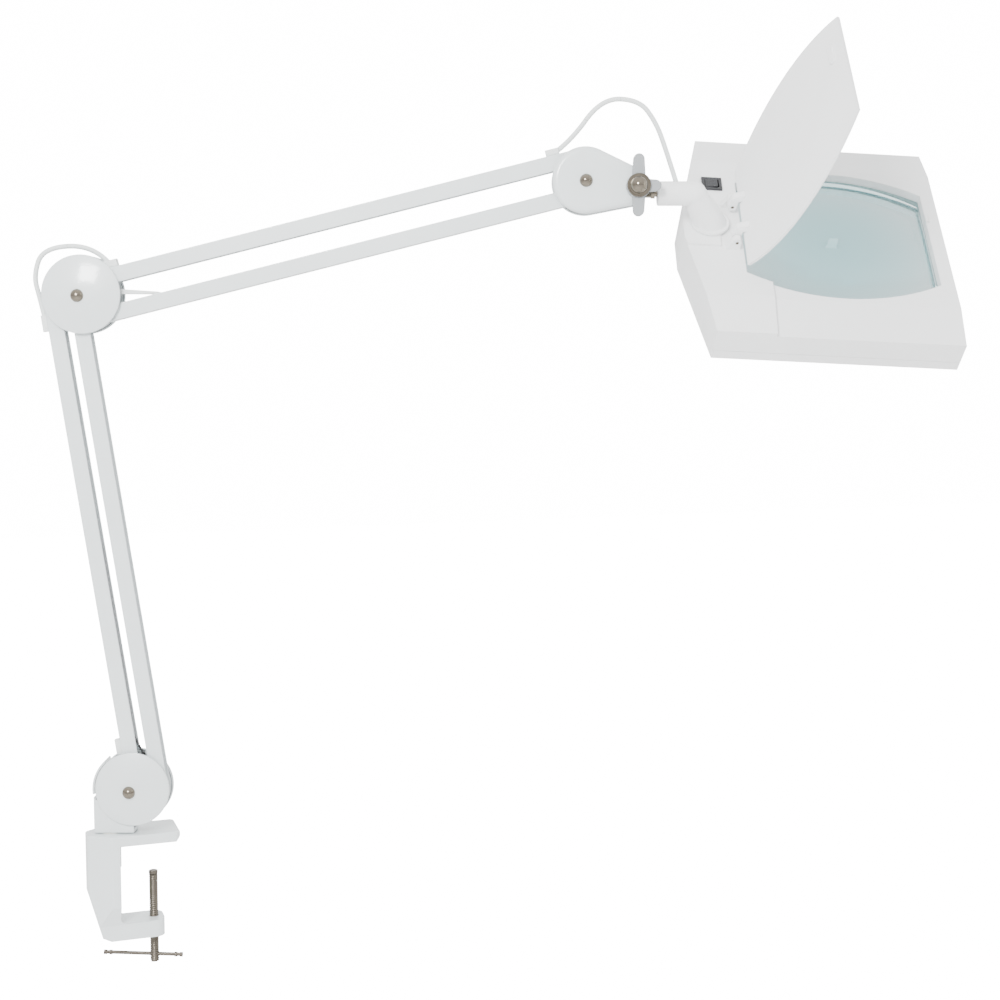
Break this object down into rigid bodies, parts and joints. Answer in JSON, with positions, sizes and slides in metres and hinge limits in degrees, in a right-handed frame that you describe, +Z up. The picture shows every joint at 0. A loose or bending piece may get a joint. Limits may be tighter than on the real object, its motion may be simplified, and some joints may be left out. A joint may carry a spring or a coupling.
{
  "type": "magnifying lamp",
  "caption": "Desk-clamp magnifying lamp with a white parallelogram spring arm and a rectangular lens head, its dust lid raised.",
  "frame": {"origin": "where the clamp screw's axis meets the underside of the upper jaw", "axes": "+X along the jaws into the table, +Z up, +Y across the clamp"},
  "size_m": [0.837, 0.3888, 0.8616],
  "materials": {
    "white_enamel": "satin",
    "white_plastic": "satin",
    "lid_plastic": "satin",
    "cable_white": "matte",
    "boot_plastic": "matte",
    "bright_steel": "polished",
    "screw_steel": "satin",
    "spring_steel": "satin",
    "nylon": "matte",
    "grey_plastic": "satin",
    "black_plastic": "gloss",
    "lens_glass": "clear",
    "lamp_glass": "frosted",
    "diffuser_plastic": "frosted",
    "reflector_aluminium": "bright",
    "ballast_case": "satin",
    "gasket_rubber": "matte"
  },
  "bodies": {
    "clamp": {"clamp_frame": "white_enamel", "swivel_bush": "nylon", "swivel_set_screw": "screw_steel"},
    "screw_tip": {"screw_tip": "screw_steel"},
    "clamp_screw": {"clamp_screw": "screw_steel"},
    "tommy_bar": {"tommy_bar": "screw_steel"},
    "base_bracket": {"base_yoke": "white_enamel", "base_spigot": "screw_steel", "base_covers": "white_enamel", "base_cover_screws": "bright_steel", "base_pivot_pins": "screw_steel", "base_washers": "nylon", "base_spring_pin": "spring_steel"},
    "lower_left": {"lower_bar_left": "white_enamel", "lower_cable_boots": "boot_plastic", "lower_spring": "spring_steel", "lower_spring_hook": "spring_steel", "elbow_cable_lower": "cable_white"},
    "lower_right": {"lower_bar_right": "white_enamel"},
    "elbow": {"elbow_cheeks": "white_enamel", "elbow_covers": "white_enamel", "elbow_cover_screws": "bright_steel", "elbow_pivot_pins": "screw_steel", "elbow_washers": "nylon", "elbow_spring_pin": "spring_steel", "elbow_cable_upper": "cable_white"},
    "upper_top": {"upper_bar_top": "white_enamel", "upper_cable_boots": "boot_plastic", "head_cable_rear": "cable_white"},
    "upper_bottom": {"upper_bar_bottom": "white_enamel", "upper_spring": "spring_steel", "upper_spring_hook": "boot_plastic"},
    "end_bracket": {"end_cheeks": "white_enamel", "end_covers": "white_enamel", "end_cover_screws": "bright_steel", "end_pivot_pins": "screw_steel", "end_washers": "nylon", "tilt_bolt": "bright_steel", "knob_washers": "bright_steel", "knob_cap": "bright_steel", "head_cable_middle": "cable_white"},
    "wing_knob": {"wing_knob": "grey_plastic"},
    "knuckle": {"tilt_knuckle": "bright_steel", "head_cable_front": "cable_white"},
    "neck": {"neck_elbow": "white_plastic", "neck_nut": "screw_steel"},
    "head": {"head_upper_shell": "white_plastic", "head_lower_shell": "white_plastic", "lens": "lens_glass", "lens_gasket": "gasket_rubber", "diffusers": "diffuser_plastic", "lamp_holders": "nylon", "lamp_tubes": "lamp_glass", "reflectors": "reflector_aluminium", "ballast": "ballast_case", "switch_body": "black_plastic", "shell_screws": "screw_steel", "lid_hinge_pins": "screw_steel"},
    "lid": {"dust_lid": "lid_plastic"},
    "switch": {"switch_rocker": "black_plastic"}
  },
  "joints": [
    {"name": "screw_feed", "type": "slide", "parent": "clamp", "child": "screw_tip", "axis": [0, 0, 1], "range_m": [-0.042, 0.018]},
    {"name": "screw_turn", "type": "hinge", "parent": "screw_tip", "child": "clamp_screw", "pos_m": [0, 0, -0.08], "axis": [0, 0, 1], "continuous": true},
    {"name": "tommy_slide", "type": "slide", "parent": "clamp_screw", "child": "tommy_bar", "axis": [0.9063, -0.4226, 0], "range_m": [-0.0145, 0.0365]},
    {"name": "base_swivel", "type": "hinge", "parent": "clamp", "child": "base_bracket", "pos_m": [-0.037, 0, 0.018], "axis": [0, 0, 1], "continuous": true},
    {"name": "lower_swing", "type": "hinge", "parent": "base_bracket", "child": "lower_left", "pos_m": [-0.0152, -0.00793, 0.0589], "axis": [0.342, 0.9397, 0], "range_deg": [-16, 70], "deforming": ["lower_spring_hook"]},
    {"name": "lower_right_swing", "type": "hinge", "parent": "base_bracket", "child": "lower_right", "pos_m": [0.00717, -0.01607, 0.0533], "axis": [0.342, 0.9397, 0], "range_deg": [-16, 70]},
    {"name": "elbow_level", "type": "hinge", "parent": "lower_left", "child": "elbow", "pos_m": [-0.07779, 0.01485, 0.50192], "axis": [0.342, 0.9397, 0], "range_deg": [-70, 16], "deforming": ["elbow_cable_lower"]},
    {"name": "upper_swing", "type": "hinge", "parent": "elbow", "child": "upper_top", "pos_m": [-0.04048, 0.00127, 0.51992], "axis": [0.342, 0.9397, 0], "range_deg": [-58, 59], "deforming": ["elbow_cable_upper", "upper_spring_hook"]},
    {"name": "upper_bottom_swing", "type": "hinge", "parent": "elbow", "child": "upper_bottom", "pos_m": [-0.0339, -0.00113, 0.48792], "axis": [0.342, 0.9397, 0], "range_deg": [-58, 59]},
    {"name": "end_level", "type": "hinge", "parent": "upper_top", "child": "end_bracket", "pos_m": [0.37336, -0.14936, 0.63021], "axis": [0.342, 0.9397, 0], "range_deg": [-59, 58], "deforming": ["head_cable_rear"]},
    {"name": "knob_turn", "type": "hinge", "parent": "end_bracket", "child": "wing_knob", "pos_m": [0.41903, -0.16598, 0.60201], "axis": [0.342, 0.9397, 0], "continuous": true},
    {"name": "head_tilt", "type": "hinge", "parent": "end_bracket", "child": "knuckle", "pos_m": [0.41903, -0.16598, 0.60201], "axis": [0.342, 0.9397, 0], "range_deg": [-60, 50], "deforming": ["head_cable_middle"]},
    {"name": "head_roll", "type": "hinge", "parent": "knuckle", "child": "neck", "pos_m": [0.46761, -0.18366, 0.59722], "axis": [0.9397, -0.342, 0], "range_deg": [-39, 130], "deforming": ["head_cable_front"]},
    {"name": "head_swivel", "type": "hinge", "parent": "neck", "child": "head", "pos_m": [0.4926, -0.16606, 0.57299], "axis": [-0.1799, -0.6982, 0.693], "range_deg": [-45, 45]},
    {"name": "lid_hinge", "type": "hinge", "parent": "head", "child": "lid", "pos_m": [0.51261, -0.17637, 0.57574], "axis": [-0.2376, -0.6528, -0.7193], "range_deg": [-72, 30]},
    {"name": "switch_rock", "type": "hinge", "parent": "head", "child": "switch", "pos_m": [0.51354, -0.12812, 0.61088], "axis": [0.2376, 0.6528, 0.7193], "range_deg": [0, 12]}
  ],
  "couplings": [
    {"joint": "screw_turn", "follows": "screw_feed", "rad_per_m": 3141.6},
    {"joint": "lower_right_swing", "follows": "lower_swing", "ratio": 1},
    {"joint": "elbow_level", "follows": "lower_swing", "ratio": -1},
    {"joint": "upper_bottom_swing", "follows": "upper_swing", "ratio": 1},
    {"joint": "end_level", "follows": "upper_swing", "ratio": -1}
  ]
}
